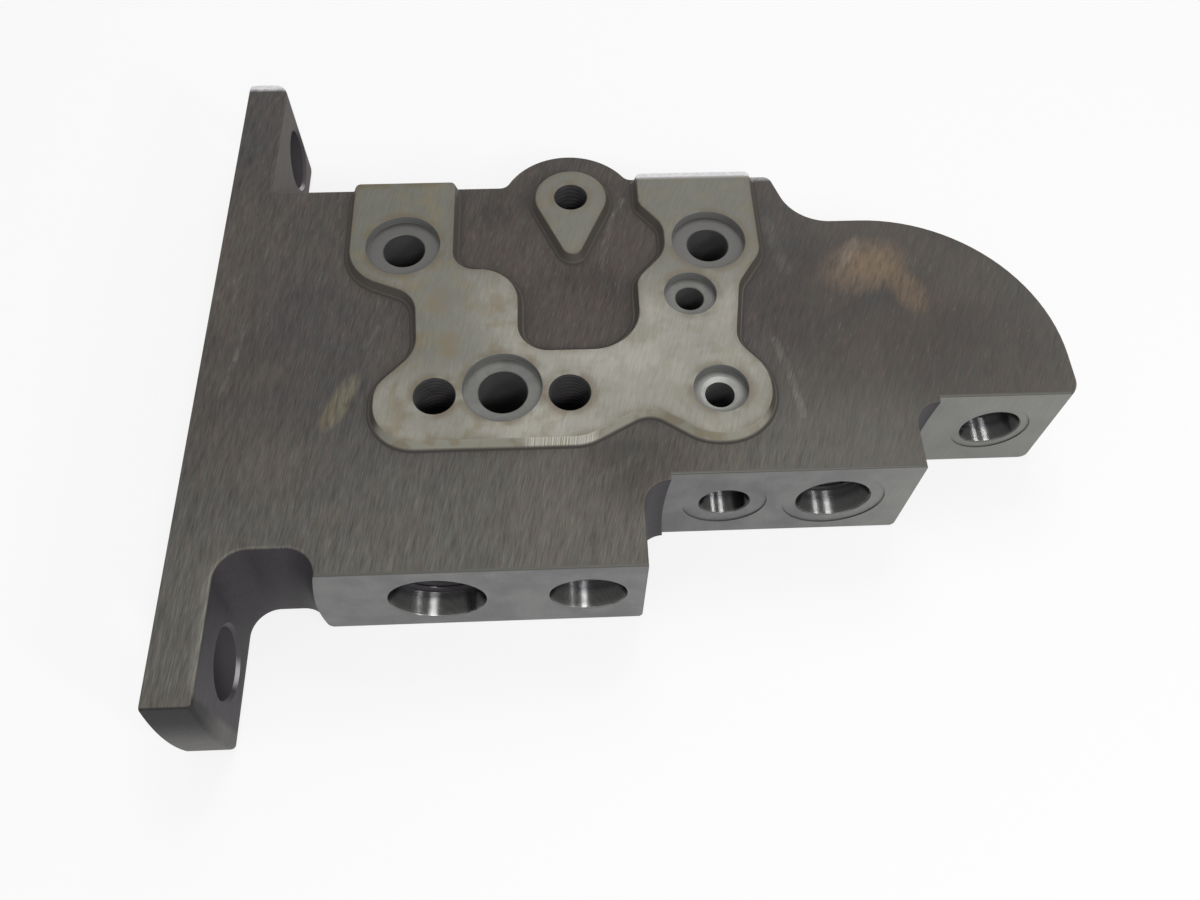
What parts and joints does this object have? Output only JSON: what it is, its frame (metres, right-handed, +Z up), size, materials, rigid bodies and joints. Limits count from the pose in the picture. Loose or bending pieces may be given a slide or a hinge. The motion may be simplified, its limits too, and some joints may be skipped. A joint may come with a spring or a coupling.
{
  "type": "hydraulic valve manifold",
  "caption": "Flat cast-iron manifold block with a side bolting flange, stepped faces of threaded oil ports and a raised milled pad that a hydraulic valve seals to.",
  "frame": {"origin": "under the middle of the block's outline, on its underside", "axes": "+Z up out of the valve pad, +X away from the bolting flange towards the large rounded end, +Y towards the back edge with the boss, so the threaded ports open towards -Y"},
  "size_m": [0.297, 0.2568, 0.0485],
  "materials": {
    "cast_iron": "dark oiled casting skin, with a lighter grey milled valve pad, port faces and flange face"
  },
  "bodies": {
    "root": {"manifold_body": "cast_iron"}
  },
  "joints": []
}
